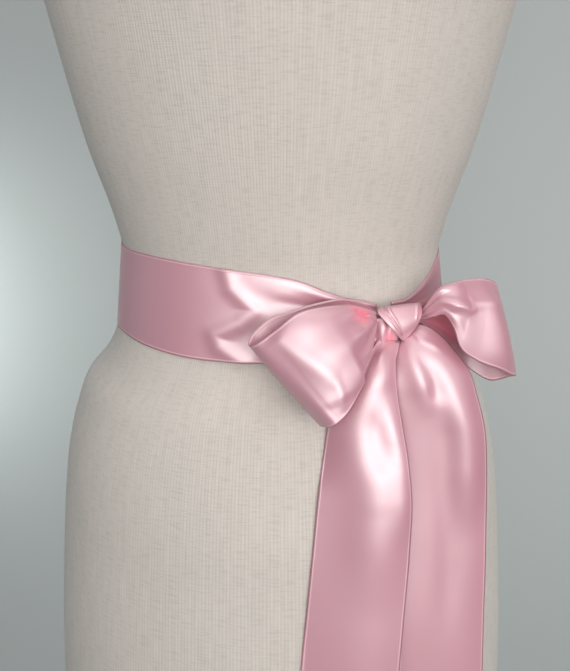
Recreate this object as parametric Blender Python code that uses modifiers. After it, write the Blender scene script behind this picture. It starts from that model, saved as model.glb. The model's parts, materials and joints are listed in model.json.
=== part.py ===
"""Satin sash tied in a bow round the waist of a limbless dress form on its stand.

Metres, +Z up. The form faces -Y, its axis is the world Z axis and the floor is z = 0.
Tables are in millimetres, with heights counted from the middle of the waist.
"""

from collections import namedtuple
import math

import bmesh
import bpy
import numpy as np

MM = 0.001

# Driving dimensions
WAIST_HEIGHT = 1030 * MM
CLOTH = 1.0 * MM
REST_GAP = 1.2
TORSO_AROUND = 36
BAND_STEPS = 64
BAND_ACROSS = 7
BAND_WAVES = 2.5

BASE_RADIUS = 190 * MM
BASE_EDGE = 8 * MM
BASE_BEVEL = 3 * MM
BASE_CROWN = 22 * MM
BASE_SLOPE_FROM = 114 * MM
BASE_SLOPE_DROP = 4 * MM
HUB_RADIUS = 30 * MM
HUB_FOOT_RADIUS = 34 * MM
HUB_TOP = 60 * MM
HUB_BEVEL = 4 * MM
POLE_RADIUS = 14 * MM
POLE_SIDES = 24
SHARP_FROM = math.radians(50)
SEAT_GAP = 0.3 * MM
TURNED_STEPS = 56

# Grid of a ribbon: steps along it and across it, waves of its gathers, and how much its steps
# crowd towards its start (1 is even)
Weave = namedtuple("Weave", "steps across waves crowding")
LOOP_WEAVE = Weave(42, 12, 2.5, 1)
TAIL_WEAVE = Weave(42, 12, 1, 1.5)
WRAP_WEAVE = Weave(16, 10, 0, 1)
CROSS_WEAVE = Weave(8, 10, 2.5, 1)

# Torso sections: height over the waist, half of the width, half of the depth
Girth = namedtuple("Girth", "height half_width half_depth")
TORSO = [
    Girth(-345, 150, 122),
    Girth(-338, 158, 129),
    Girth(-305, 162, 133),
    Girth(-252, 161, 132),
    Girth(-196, 157, 129),
    Girth(-152, 153, 125),
    Girth(-126, 150, 123),
    Girth(-101, 146, 119),
    Girth(-73, 138.5, 113),
    Girth(-52, 129.5, 106),
    Girth(-40, 119, 98),
    Girth(-29, 112.5, 92),
    Girth(-15, 108, 88),
    Girth(0, 105.5, 86.5),
    Girth(15, 103.5, 85),
    Girth(31, 103, 84.5),
    Girth(45, 106, 86),
    Girth(59, 110, 88),
    Girth(91, 120.5, 94),
    Girth(122, 128.5, 99),
    Girth(157, 136.5, 104),
    Girth(200, 146, 109),
    Girth(250, 155, 106),
    Girth(300, 162, 96),
    Girth(335, 158, 84),
    Girth(362, 138, 72),
    Girth(382, 103, 62),
    Girth(396, 70, 56),
    Girth(412, 57, 53),
    Girth(440, 54, 52),
    Girth(446, 50, 48),
]
# Rings of the torso: close together round the waist, further apart above and below it
WAIST_RINGS = np.arange(-81, 55, 9)
HIP_RINGS = np.linspace(-338, -107, 8)
CHEST_RINGS = np.linspace(80, 300, 9)
SHOULDER_RINGS = [row.height for row in TORSO if row.height > CHEST_RINGS[-1]]

# Waist band: angle from the front towards the right, heights of its two selvages,
# lift off the form, depth of its gathers
Stretch = namedtuple("Stretch", "angle top low lift gather")
BAND = [
    Stretch(-322, 8, -2, 1.5, 0.6),
    Stretch(-315, 8, -4, 1.0, 1.0),
    Stretch(-309, 11, -7, 0.5, 1.0),
    Stretch(-303, 15, -11, 0.5, 0.8),
    Stretch(-296, 20, -16, 0.5, 0.5),
    Stretch(-288, 25.5, -20, 0.5, 0.2),
    Stretch(-270, 29.5, -22, 0.5, 0),
    Stretch(-225, 33.5, -22, 0.5, 0),
    Stretch(-180, 34, -22, 0.5, 0),
    Stretch(-135, 34.5, -21.5, 0.5, 0),
    Stretch(-90, 34.5, -20.5, 0.5, 0),
    Stretch(-66, 33.5, -19.5, 0.5, 0),
    Stretch(-46, 33.5, -21.7, 0.8, 0),
    Stretch(-30, 32.2, -23.2, 1.2, 0),
    Stretch(-15, 30, -23.2, 1.5, 0),
    Stretch(-3, 27.5, -22.5, 1.8, 0.3),
    Stretch(7, 23.5, -19, 2.2, 0.8),
    Stretch(14, 18, -14, 2.6, 1.2),
    Stretch(20, 14, -9, 3.6, 1.2),
    Stretch(26, 11.5, -5, 4.4, 1.0),
    Stretch(31, 8.5, -2, 4.0, 0.4),
]

# Ribbon sections: one selvage, the other selvage, crown between them, depth of the gathers
Section = namedtuple("Section", "ax ay az bx by bz crown gather")
LOOP_LEFT = [
    Section(57.5, -81.6, 4.6, 57.5, -82.2, -0.5, 0, 0.2),
    Section(52, -82.6, 8, 53, -84.3, -4, 0, 0.6),
    Section(46.5, -87, 11.5, 49.5, -90, -8.5, 0, 1.5),
    Section(37, -91.5, 15.3, 44.5, -96.5, -17.5, 1, 1.4),
    Section(22, -97, 14.8, 37.5, -104.5, -28, 2, 0.8),
    Section(6, -102, 11.2, 30, -112, -38, 2, 0),
    Section(-7.5, -107, 7, 23.5, -117.5, -43.5, 1.5, 0),
    Section(-15.5, -112, 0, 20.8, -121, -46, 0.5, 0),
    Section(-16.8, -117, -3.5, 21.8, -124.5, -46.8, 0.5, 0),
    Section(-13.5, -121.5, -1.8, 26, -126.5, -45.6, 2, 0),
    Section(-4, -123, 5.6, 32, -126, -41.8, 5, 0),
    Section(9.5, -121, 15.4, 38.5, -121, -31.5, 7, 0.3),
    Section(25, -113.5, 17, 44, -115.5, -21.5, 7, 0.8),
    Section(38, -105, 15, 49, -107.5, -12.5, 5, 1.5),
    Section(46.5, -97.5, 11.5, 52.5, -98.8, -5.5, 2, 0.8),
    Section(53.6, -91.5, 7.8, 54.7, -92.3, 1.2, 0, 0.2),
]
LOOP_RIGHT = [
    Section(76.6, -80.3, 5.2, 77.4, -81.2, 1, 0, 0.2),
    Section(81.2, -81.5, 7.2, 82, -84.2, 2, 0.6, 0.3),
    Section(85, -81.5, 13, 87, -89, 5, 2.5, 0.9),
    Section(90, -80, 19.6, 92.5, -92.5, 6.5, 5, 1.0),
    Section(97, -77, 21.5, 96.5, -95, 1, 7.5, 0.6),
    Section(104, -74, 22.3, 101, -95, -11, 7, 0.2),
    Section(112, -70.5, 22.4, 111, -91.5, -20.5, 5.5, 0),
    Section(119.5, -67, 21.5, 123.5, -84.5, -28, 4, 0),
    Section(125, -64.5, 19.5, 135.5, -76, -35, 2.5, 0),
    Section(128, -60.5, 17, 142.5, -67.5, -38.5, 1, 0),
    Section(125.5, -54.5, 14.5, 141.5, -59, -42, 1, 0),
    Section(116, -52, 11, 131, -53.5, -46.5, 2, 0),
    Section(106, -54, 9.5, 120, -51.5, -41, 2, 0),
    Section(97, -58, 8.5, 108.5, -54.5, -30, 1, 0.4),
    Section(89.5, -63.5, 7.5, 97.5, -61.5, -17.5, 0, 1),
    Section(82.5, -70, 5.5, 87, -69, -7.5, 0, 0.8),
    Section(78.5, -74.5, 3.5, 80, -74, -2, 0, 0.2),
]
TAIL_LEFT = [
    Section(66.2, -91, -10.6, 57, -92, -12.1, 0.2, 0.4),
    Section(65.4, -95, -13.8, 55, -93.6, -15, 1, 0.8),
    Section(64.6, -99.5, -18, 51.4, -96.2, -18.6, 3, 1.2),
    Section(64.6, -104, -24, 44, -99.5, -25, 5.5, 1.4),
    Section(65.5, -107.5, -35, 34.5, -104, -37, 7, 0.9),
    Section(68, -111, -50, 28, -109, -50, 7, 0.4),
    Section(71, -114, -68, 24.5, -114, -68, 5.5, 0),
    Section(73, -116.5, -92, 21.5, -120, -92, 3.5, 0),
    Section(73, -119, -125, 18.5, -125, -124, 2, 0),
    Section(71.3, -121.5, -160, 15.5, -128.5, -158, 1.5, 0),
    Section(69, -124.5, -205, 11.8, -131.5, -202, 1.5, 0),
    Section(67.5, -126.5, -255, 10.2, -134, -255, 1.5, 0),
    Section(67, -127.5, -305, 9.8, -135.5, -305, 1.5, 0),
    Section(67, -127.5, -400, 10, -135.5, -400, 2, 0),
    Section(69, -126, -530, 12.5, -133, -530, 3, 0),
    Section(70, -125, -670, 13, -129, -670, 3, 0),
    Section(68.5, -125, -790, 11.5, -128, -790, 2, 0),
]
TAIL_RIGHT = [
    Section(77.4, -84.8, -1, 70.8, -87, -7, 0, 0.2),
    Section(84.5, -86.4, -2.6, 69.5, -89.8, -10.6, 1.5, 0.8),
    Section(92.5, -86.5, -8.4, 65, -91, -15, 4, 1.2),
    Section(100.5, -88, -17, 64, -93.5, -21, 6.5, 1.0),
    Section(108.5, -89.5, -27.5, 64, -96, -30, 7, 0.6),
    Section(113.5, -91.5, -42.5, 65, -98.5, -43, 6, 0.2),
    Section(118, -94, -60, 66, -102, -62, 4.5, 0),
    Section(121, -97, -90, 67.5, -106.5, -92, 3, 0),
    Section(123.5, -101, -130, 70, -111, -132, 2, 0),
    Section(125, -106, -180, 71, -116, -182, 1.5, 0),
    Section(126, -110, -230, 71.8, -118.5, -232, 1.5, 0),
    Section(126, -113, -300, 71.5, -121.5, -302, 1.5, 0),
    Section(127, -113, -400, 72, -120.5, -402, 2, 0),
    Section(130, -110, -530, 75.5, -118, -532, 3, 0),
    Section(130, -109, -680, 74, -113, -682, 3, 0),
    Section(128, -110, -825, 72, -114, -825, 2, 0),
]
KNOT_WRAP = [
    Section(80, -73, 7, 58.4, -80.2, 6.6, 0, 0.4),
    Section(80.6, -77.5, 9.4, 55.8, -86.8, 8.6, 0.5, 0.5),
    Section(80.6, -83.5, 8.4, 55, -91.6, 7.2, 1.0, 0.5),
    Section(80, -88, 4, 59, -94.8, 3, 1.2, 0.5),
    Section(77.3, -90, -0.8, 62.8, -95.4, -1, 1.0, 0.3),
    Section(74, -91, -5, 66, -94.4, -5, 0.6, 0.1),
    Section(71.3, -90.6, -9, 69.2, -91.6, -8.8, 0.2, 0),
]
KNOT_CROSS = [
    Section(66.5, -89.4, 4.5, 56, -90, 3.6, 0, 0.3),
    Section(68, -91.6, 0, 55.6, -92, -1.6, 0.4, 0.7),
    Section(67, -91.4, -4.5, 55.8, -92.6, -6.5, 0.4, 0.7),
    Section(66.2, -90.4, -9.2, 57.2, -92, -11, 0.2, 0.4),
]

# Creases of a ribbon: a line of places (row of its table, share of the width), then the crease's
# width, its height, and the share of the line over which it fades at each end
Crease = namedtuple("Crease", "line width height fade")
BAND_CREASES = [
    Crease([(13.85, 0.0), (14.6, 0.41), (13.65, 0.71), (14.3, 1.0)], 6, 1.2, 0),
    Crease([(14.6, 0.66), (16.0, 0.64), (17.5, 0.62), (19.0, 0.60)], 13, 3.0, 0.3),
]
LOOP_LEFT_CREASES = [
    Crease([(9.95, 0.0), (10.15, 0.22), (10.4, 0.46), (10.65, 0.76), (10.4, 0.92)], 13, 2.6, 0.1),
    Crease([(12.8, 0.42), (14.2, 0.48)], 4, 0.9, 0.3),
]
LOOP_RIGHT_CREASES = [
    Crease([(2.0, 0.80), (2.9, 0.75), (3.5, 0.64), (5.2, 0.34), (7.2, 0.26), (8.4, 0.28)], 5, 2.0, 0.15),
    Crease([(6.6, 0.46), (7.1, 0.70), (7.3, 0.96)], 11, 4.5, 0.15),
    Crease([(2.2, 0.34), (3.0, 0.30), (4.2, 0.20)], 4.5, 2.0, 0.3),
]
TAIL_LEFT_CREASES = [
    Crease([(4.0, 0.40), (5.6, 0.34), (7.3, 0.30), (9.2, 0.34)], 20, 6.0, 0.48),
    Crease([(3.4, 0.14), (6.2, 0.04), (8.0, 0.06)], 9, 3.2, 0.35),
    Crease([(4.0, 0.40), (5.2, 0.38), (6.2, 0.34)], 8, -1.3, 0.4),
    Crease([(4.4, 1.0), (6.5, 1.0), (9.4, 1.0)], 13, -5.0, 0.3),
    Crease([(1.2, 0.48), (2.8, 0.52)], 7, 1.8, 0.4),
]
TAIL_RIGHT_CREASES = [
    Crease([(2.2, 0.40), (3.2, 0.30), (4.6, 0.17), (6.4, 0.12)], 10, 4.2, 0.4),
    Crease([(2.4, 0.86), (3.2, 0.66), (4.2, 0.55), (5.0, 0.49), (7.0, 0.46)], 5.5, -2.0, 0.25),
    Crease([(3.0, 0.86), (4.4, 0.80), (6.6, 0.78)], 10, 2.2, 0.45),
]
WRAP_CREASES = [
    Crease([(2.0, 0.10), (2.0, 0.80)], 3.5, 1.4, 0),
    Crease([(0.6, 0.82), (2.8, 0.75), (4.8, 0.68)], 2.0, 0.6, 0.2),
]

# Colours as linear red, green, blue
SATIN_PINK = (0.72, 0.42, 0.47)
JERSEY = (0.55, 0.50, 0.43)
STEEL = (0.30, 0.30, 0.31)


def clear_scene():
    for thing in list(bpy.data.objects):
        bpy.data.objects.remove(thing, do_unlink=True)


def make_collection(name):
    collection = bpy.data.collections.new(name)
    bpy.context.scene.collection.children.link(collection)
    return collection


def make_material(name, colour, roughness, metallic):
    material = bpy.data.materials.new(name)
    material.use_nodes = True
    shader = material.node_tree.nodes["Principled BSDF"]
    shader.inputs["Base Color"].default_value = (*colour, 1)
    shader.inputs["Roughness"].default_value = roughness
    shader.inputs["Metallic"].default_value = metallic
    return material


def eased(places, rows, wanted):
    """Smooth values at the wanted places: a cubic through the rows with the rows' own slopes."""
    places = np.asarray(places, float)
    rows = np.asarray(rows, float)
    slopes = np.gradient(rows, places, axis=0)
    index = np.clip(np.searchsorted(places, wanted, side="right") - 1, 0, len(places) - 2)
    span = (places[index + 1] - places[index])[:, None]
    t = (wanted - places[index])[:, None] / span
    start, end = rows[index], rows[index + 1]
    leave, arrive = slopes[index] * span, slopes[index + 1] * span
    return (
        (2 * t**3 - 3 * t**2 + 1) * start
        + (t**3 - 2 * t**2 + t) * leave
        + (3 * t**2 - 2 * t**3) * end
        + (t**3 - t**2) * arrive
    )


TORSO_ROWS = np.array(TORSO, float)


def girth(height):
    """Half width and half depth of the torso at heights over the waist, in millimetres."""
    inside = np.clip(height, TORSO_ROWS[0, 0], TORSO_ROWS[-1, 0])
    sizes = eased(TORSO_ROWS[:, 0], TORSO_ROWS[:, 1:], inside.ravel())
    return sizes[:, 0].reshape(height.shape), sizes[:, 1].reshape(height.shape)


def rest_on_form(points):
    """Points inside the form, or nearer to it than the rest gap, moved straight out to the gap."""
    half_width, half_depth = girth(points[..., 2])
    x, y = points[..., 0], points[..., 1]
    reach = np.sqrt((x / (half_width + REST_GAP)) ** 2 + (y / (half_depth + REST_GAP)) ** 2)
    beside_form = points[..., 2] > TORSO_ROWS[1, 0]
    push = np.where(beside_form, 1 / np.minimum(reach, 1), 1)
    moved = points.copy()
    moved[..., 0] *= push
    moved[..., 1] *= push
    return moved


def outward(points):
    """Unit normals of a grid of points: across the ribbon times along it."""
    along = np.gradient(points, axis=0)
    across = np.gradient(points, axis=1)
    normals = np.cross(across, along)
    return normals / np.linalg.norm(normals, axis=2, keepdims=True)


def travelled(line):
    """Distance gone along a line of points, from 0 at its first."""
    return np.concatenate([[0], np.cumsum(np.linalg.norm(np.diff(line, axis=0), axis=1))])


def crease_heights(creases, row_at, run, across, width):
    """Sum of soft ridges: height times exp(-(distance from its line / its width) squared)."""
    total = np.zeros((len(run), len(across)))
    here = np.stack(np.meshgrid(run, across * width, indexing="ij"), axis=2)
    for crease in creases:
        places = np.array(crease.line, float)
        line = np.stack([np.interp(places[:, 0], row_at, run), places[:, 1] * width], axis=1)
        gone = travelled(line)
        nearest = np.full(total.shape, np.inf)
        share = np.zeros(total.shape)
        for start, end, first, last in zip(line, line[1:], gone, gone[1:]):
            way = end - start
            part = np.clip((here - start) @ way / (way @ way), 0, 1)
            away = np.linalg.norm(here - start - part[..., None] * way, axis=2)
            closer = away < nearest
            nearest = np.where(closer, away, nearest)
            share = np.where(closer, (first + part * (last - first)) / gone[-1], share)
        strength = np.ones(total.shape)
        if crease.fade:
            inward = np.clip(np.minimum(share, 1 - share) / crease.fade, 0, 1)
            strength = 0.5 - 0.5 * np.cos(math.pi * inward)
        total += crease.height * strength * np.exp(-((nearest / crease.width) ** 2))
    return total


def ribbon(sections, creases, weave, width):
    """Grid of points: straight between the selvages, then raised by crown, gathers and creases."""
    rows = np.array(sections, float)
    places = travelled((rows[:, 0:3] + rows[:, 3:6]) / 2)
    run = places[-1] * np.linspace(0, 1, weave.steps + 1) ** weave.crowding
    smooth = eased(places, rows, run)
    across = np.linspace(0, 1, weave.across + 1)
    side_a, side_b = smooth[:, None, 0:3], smooth[:, None, 3:6]
    base = side_a + across[None, :, None] * (side_b - side_a)
    crown = smooth[:, 6:7] * 4 * across * (1 - across)
    gather = smooth[:, 7:8] * np.sin(2 * math.pi * weave.waves * across)
    row_at = np.interp(run, places, np.arange(len(rows)))
    raised = crown + gather + crease_heights(creases, row_at, run, across, width)
    return rest_on_form(base + raised[..., None] * outward(base))


def band_points():
    """Grid round the waist: straight between the selvages, each on the form at its own angle."""
    rows = np.array(BAND, float)
    angles = np.radians(rows[:, 0])
    run = np.linspace(angles[0], angles[-1], BAND_STEPS + 1)
    smooth = eased(angles, rows[:, 1:], run)
    edges = []
    for column in (0, 1):
        height = smooth[:, column]
        half_width, half_depth = girth(height)
        out = REST_GAP + smooth[:, 2]
        edges.append(
            np.stack(
                [(half_width + out) * np.sin(run), -(half_depth + out) * np.cos(run), height], axis=1
            )
        )
    across = np.linspace(0, 1, BAND_ACROSS + 1)
    base = edges[0][:, None] + across[None, :, None] * (edges[1] - edges[0])[:, None]
    gather = smooth[:, 3:4] * np.sin(2 * math.pi * BAND_WAVES * across)
    gone = travelled(base[:, BAND_ACROSS // 2])
    row_at = np.interp(run, angles, np.arange(len(rows)))
    width = np.linalg.norm(edges[0] - edges[1], axis=1).max()
    raised = gather + crease_heights(BAND_CREASES, row_at, gone, across, width)
    return rest_on_form(base + raised[..., None] * outward(base))


def lift_to_waist(points):
    """Millimetres from the middle of the waist to metres from the floor."""
    placed = points * MM
    placed[..., 2] += WAIST_HEIGHT
    return placed


def cloth_from_grid(name, points, material, collection):
    """A strip of cloth: the grid as an open surface, thickened both ways to its wall."""
    rows, columns = points.shape[:2]
    index = np.arange(rows * columns).reshape(rows, columns)
    quads = np.stack([index[:-1, :-1], index[:-1, 1:], index[1:, 1:], index[1:, :-1]], axis=2)
    mesh = bpy.data.meshes.new(name)
    mesh.from_pydata(lift_to_waist(points).reshape(-1, 3).tolist(), [], quads.reshape(-1, 4).tolist())
    mesh.materials.append(material)
    mesh.shade_smooth()
    strip = bpy.data.objects.new(name, mesh)
    collection.objects.link(strip)
    wall = strip.modifiers.new("Wall", "SOLIDIFY")
    wall.thickness = CLOTH
    wall.offset = 0
    wall.use_even_offset = True
    return strip


def build_torso(material, collection):
    """Loft between oval sections, closed by a face at the neck and one underneath."""
    parts = [[TORSO[0].height], HIP_RINGS, WAIST_RINGS, CHEST_RINGS, SHOULDER_RINGS]
    heights = np.concatenate(parts)
    half_width, half_depth = girth(heights)
    turn = np.linspace(0, 2 * math.pi, TORSO_AROUND, endpoint=False)
    mesh_maker = bmesh.new()
    rings = []
    for height, wide, deep in zip(heights, half_width, half_depth):
        ring = []
        for angle in turn:
            place = (wide * math.cos(angle) * MM, deep * math.sin(angle) * MM, height * MM)
            ring.append(mesh_maker.verts.new(place))
        rings.append(ring)
    for lower, upper in zip(rings, rings[1:]):
        for i in range(TORSO_AROUND):
            j = (i + 1) % TORSO_AROUND
            mesh_maker.faces.new((lower[i], lower[j], upper[j], upper[i]))
    mesh_maker.faces.new(rings[0][::-1])
    mesh_maker.faces.new(rings[-1])
    mesh = bpy.data.meshes.new("torso")
    mesh_maker.to_mesh(mesh)
    mesh_maker.free()
    mesh.materials.append(material)
    mesh.shade_smooth()
    mesh.set_sharp_from_angle(angle=SHARP_FROM)
    torso = bpy.data.objects.new("torso", mesh)
    torso.location.z = WAIST_HEIGHT
    collection.objects.link(torso)
    return torso


def turned(name, profile, material, collection):
    """A solid of revolution round the world Z axis: its profile runs from the top to the bottom."""
    mesh = bpy.data.meshes.new(name)
    points = [(radius, 0, height) for radius, height in profile]
    mesh.from_pydata(points, [(i, i + 1) for i in range(len(points) - 1)], [])
    mesh.materials.append(material)
    solid = bpy.data.objects.new(name, mesh)
    collection.objects.link(solid)
    turn = solid.modifiers.new("Turned", "SCREW")
    turn.steps = TURNED_STEPS
    turn.render_steps = TURNED_STEPS
    turn.use_merge_vertices = True
    turn.merge_threshold = 0.0001
    turn.use_smooth_shade = True
    return solid


def build_base(material, collection):
    """Round plate with a domed top."""
    profile = [
        (0, BASE_CROWN),
        (HUB_FOOT_RADIUS, BASE_CROWN),
        (BASE_SLOPE_FROM, BASE_CROWN - BASE_SLOPE_DROP),
        (BASE_RADIUS - BASE_BEVEL, BASE_EDGE),
        (BASE_RADIUS, BASE_EDGE - BASE_BEVEL),
        (BASE_RADIUS, 0),
        (0, 0),
    ]
    return turned("base", profile, material, collection)


def build_hub(material, collection):
    """Short collar on the plate, a little wider at its foot."""
    foot = BASE_CROWN + SEAT_GAP
    profile = [
        (0, HUB_TOP),
        (HUB_RADIUS - HUB_BEVEL, HUB_TOP),
        (HUB_RADIUS, HUB_TOP - HUB_BEVEL),
        (HUB_FOOT_RADIUS, foot),
        (0, foot),
    ]
    return turned("hub", profile, material, collection)


def build_pole(material, collection):
    """Round pole from the top of the hub to the underside of the torso."""
    start = HUB_TOP + SEAT_GAP
    end = WAIST_HEIGHT + TORSO[0].height * MM - SEAT_GAP
    bpy.ops.mesh.primitive_cylinder_add(
        vertices=POLE_SIDES, radius=POLE_RADIUS, depth=end - start, location=(0, 0, (start + end) / 2)
    )
    pole = bpy.context.object
    pole.name = "pole"
    pole.data.name = "pole"
    pole.data.materials.append(material)
    pole.data.shade_smooth()
    pole.data.set_sharp_from_angle(angle=SHARP_FROM)
    for holder in list(pole.users_collection):
        holder.objects.unlink(pole)
    collection.objects.link(pole)
    return pole


def ribbon_width():
    """Width of the ribbon from the band's own section at the back."""
    back = next(row for row in BAND if row.angle == -180)
    wide, _ = girth(np.array([back.top, back.low], float))
    return math.hypot(back.top - back.low, wide[0] - wide[1])


def main():
    clear_scene()
    sash = make_collection("satin_sash_on_a_dress_form")
    satin = make_material("satin", SATIN_PINK, 0.3, 0)
    jersey = make_material("jersey", JERSEY, 0.9, 0)
    steel = make_material("steel", STEEL, 0.4, 0.8)
    build_base(steel, sash)
    build_hub(steel, sash)
    build_pole(steel, sash)
    build_torso(jersey, sash)
    cloth_from_grid("waist_band", band_points(), satin, sash)
    width = ribbon_width()
    strips = [
        ("loop_left", LOOP_LEFT, LOOP_LEFT_CREASES, LOOP_WEAVE),
        ("loop_right", LOOP_RIGHT, LOOP_RIGHT_CREASES, LOOP_WEAVE),
        ("tail_left", TAIL_LEFT, TAIL_LEFT_CREASES, TAIL_WEAVE),
        ("tail_right", TAIL_RIGHT, TAIL_RIGHT_CREASES, TAIL_WEAVE),
        ("knot_wrap", KNOT_WRAP, WRAP_CREASES, WRAP_WEAVE),
        ("knot_cross", KNOT_CROSS, [], CROSS_WEAVE),
    ]
    for name, sections, creases, weave in strips:
        points = ribbon(sections, creases, weave, width)
        cloth_from_grid(name, points, satin, sash)


main()
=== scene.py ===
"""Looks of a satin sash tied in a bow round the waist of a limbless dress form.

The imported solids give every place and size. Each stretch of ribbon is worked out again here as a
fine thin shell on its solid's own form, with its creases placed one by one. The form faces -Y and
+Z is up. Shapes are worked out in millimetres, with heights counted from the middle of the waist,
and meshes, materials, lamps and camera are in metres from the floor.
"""

import json
import logging
import math
from dataclasses import dataclass, field
from enum import Enum
from typing import NamedTuple

import bpy
import numpy as np
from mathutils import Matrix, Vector

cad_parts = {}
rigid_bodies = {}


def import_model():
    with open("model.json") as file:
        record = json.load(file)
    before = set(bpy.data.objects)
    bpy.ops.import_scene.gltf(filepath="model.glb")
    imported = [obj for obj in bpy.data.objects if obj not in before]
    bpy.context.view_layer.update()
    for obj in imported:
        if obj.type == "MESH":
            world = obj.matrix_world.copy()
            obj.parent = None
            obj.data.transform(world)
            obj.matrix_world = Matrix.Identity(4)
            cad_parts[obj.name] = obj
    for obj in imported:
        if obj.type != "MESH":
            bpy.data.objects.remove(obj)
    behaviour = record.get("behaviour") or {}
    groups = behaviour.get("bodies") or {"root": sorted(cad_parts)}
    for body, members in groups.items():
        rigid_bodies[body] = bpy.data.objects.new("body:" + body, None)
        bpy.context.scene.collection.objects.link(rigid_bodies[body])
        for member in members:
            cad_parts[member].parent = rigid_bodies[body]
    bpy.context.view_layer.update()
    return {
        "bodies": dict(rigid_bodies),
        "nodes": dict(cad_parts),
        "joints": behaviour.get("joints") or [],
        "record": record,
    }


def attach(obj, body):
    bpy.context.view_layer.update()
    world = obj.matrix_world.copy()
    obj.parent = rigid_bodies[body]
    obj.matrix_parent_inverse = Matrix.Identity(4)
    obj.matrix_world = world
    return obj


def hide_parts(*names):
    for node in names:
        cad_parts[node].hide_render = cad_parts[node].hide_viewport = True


LOG = logging.getLogger("sash")

CLOTH_MAP = "cloth_map"

# Metres in a millimetre, then sizes in millimetres
MM = 0.001
WAIST_HEIGHT = 1030.0
RIBBON_WIDTH = 57.0
SATIN_WALL = 0.35
# Clearance of hung ribbon and of the band from the form, and the lift that the band's table gives
# where the band lies on the form
REST_GAP = 1.2
SNUG_GAP = 0.35
REST_LIFT = 0.5
# Colour sockets of a Mix node
MIX_FIRST, MIX_SECOND, MIX_RESULT = 6, 7, 2

Colour = tuple[float, float, float]


class Held(Enum):
    STRETCHED = "stretched"
    GATHERED = "gathered"
    HUNG = "hung"
    FOLDED = "folded"


class Slot(Enum):
    """The record's material slots of the two cloths."""

    SATIN = "satin"
    JERSEY = "jersey"


class Girth(NamedTuple):
    """One level of the form: height over the waist, half of the width, half of the depth."""

    height: float
    half_width: float
    half_depth: float


class Stretch(NamedTuple):
    """One place of the waist band: angle from the front, selvage heights, lift, gather depth."""

    angle: float
    top: float
    low: float
    lift: float
    gather: float


class Section(NamedTuple):
    """One section of ribbon: its two selvages, the crown between them, the depth of its gathers."""

    ax: float
    ay: float
    az: float
    bx: float
    by: float
    bz: float
    crown: float
    gather: float


FIRST_SELVAGE, SECOND_SELVAGE = slice(0, 3), slice(3, 6)
CROWN, GATHER = slice(6, 7), slice(7, 8)


class Fold(NamedTuple):
    """A soft ridge, or a trough where its height is negative, along a line on the ribbon.

    Places are (row of the table, share of the width from the first selvage). The ridge fades over
    the given share of the line at each end.
    """

    places: tuple[tuple[float, float], ...]
    width: float
    height: float
    fade: float = 0.0


class Hollow(NamedTuple):
    """A tight hollow beside the knot: its middle, and how far the bounce light painted there
    reaches.
    """

    x: float
    y: float
    z: float
    reach: float


FORM_ROWS = (
    Girth(-345, 150, 122),
    Girth(-338, 158, 129),
    Girth(-305, 162, 133),
    Girth(-252, 161, 132),
    Girth(-196, 157, 129),
    Girth(-152, 153, 125),
    Girth(-126, 150, 123),
    Girth(-101, 146, 119),
    Girth(-73, 138.5, 113),
    Girth(-52, 129.5, 106),
    Girth(-40, 119, 98),
    Girth(-29, 112.5, 92),
    Girth(-15, 108, 88),
    Girth(0, 105.5, 86.5),
    Girth(15, 103.5, 85),
    Girth(31, 103, 84.5),
    Girth(45, 106, 86),
    Girth(59, 110, 88),
    Girth(91, 120.5, 94),
    Girth(122, 128.5, 99),
    Girth(157, 136.5, 104),
    Girth(200, 146, 109),
    Girth(250, 155, 106),
    Girth(300, 162, 96),
    Girth(335, 158, 84),
    Girth(362, 138, 72),
    Girth(382, 103, 62),
    Girth(396, 70, 56),
    Girth(412, 57, 53),
    Girth(440, 54, 52),
    Girth(446, 50, 48),
)
BAND_ROWS = (
    Stretch(-322, 8, -2, 1.5, 0.6),
    Stretch(-315, 8, -4, 1.0, 1.0),
    Stretch(-309, 11, -7, 0.5, 1.0),
    Stretch(-303, 15, -11, 0.5, 0.8),
    Stretch(-296, 20, -16, 0.5, 0.5),
    Stretch(-288, 25.5, -20, 0.5, 0.2),
    Stretch(-270, 29.5, -22, 0.5, 0),
    Stretch(-225, 33.5, -22, 0.5, 0),
    Stretch(-180, 34, -22, 0.5, 0),
    Stretch(-135, 34.5, -21.5, 0.5, 0),
    Stretch(-90, 34.5, -20.5, 0.5, 0),
    Stretch(-66, 33.5, -19.5, 0.5, 0),
    Stretch(-46, 33.5, -21.7, 0.8, 0),
    Stretch(-30, 32.2, -23.2, 1.2, 0),
    Stretch(-15, 30, -23.2, 1.5, 0),
    Stretch(-3, 27.5, -22.5, 1.8, 0.3),
    Stretch(7, 23.5, -19, 2.2, 0.8),
    Stretch(14, 18, -14, 2.6, 1.2),
    Stretch(20, 14, -9, 3.6, 1.2),
    Stretch(26, 11.5, -5, 4.4, 1.0),
    Stretch(31, 8.5, -2, 4.0, 0.4),
)
BAND_FOLDS = (
    Fold(((13.85, 0.0), (13.98, 0.20), (14.6, 0.41), (14.2, 0.57), (13.65, 0.71), (13.75, 0.84),
          (14.3, 1.0)), 5.2, 1.5),
    Fold(((14.5, 0.86), (16.0, 0.80), (17.5, 0.74), (19.0, 0.66)), 15, 3.0, 0.3),
    Fold(((14.8, 0.18), (16.0, 0.24), (17.5, 0.28)), 4, 0.45, 0.4),
    Fold(((14.8, 0.42), (16.0, 0.40), (17.5, 0.42)), 4, 0.45, 0.4),
)
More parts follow.
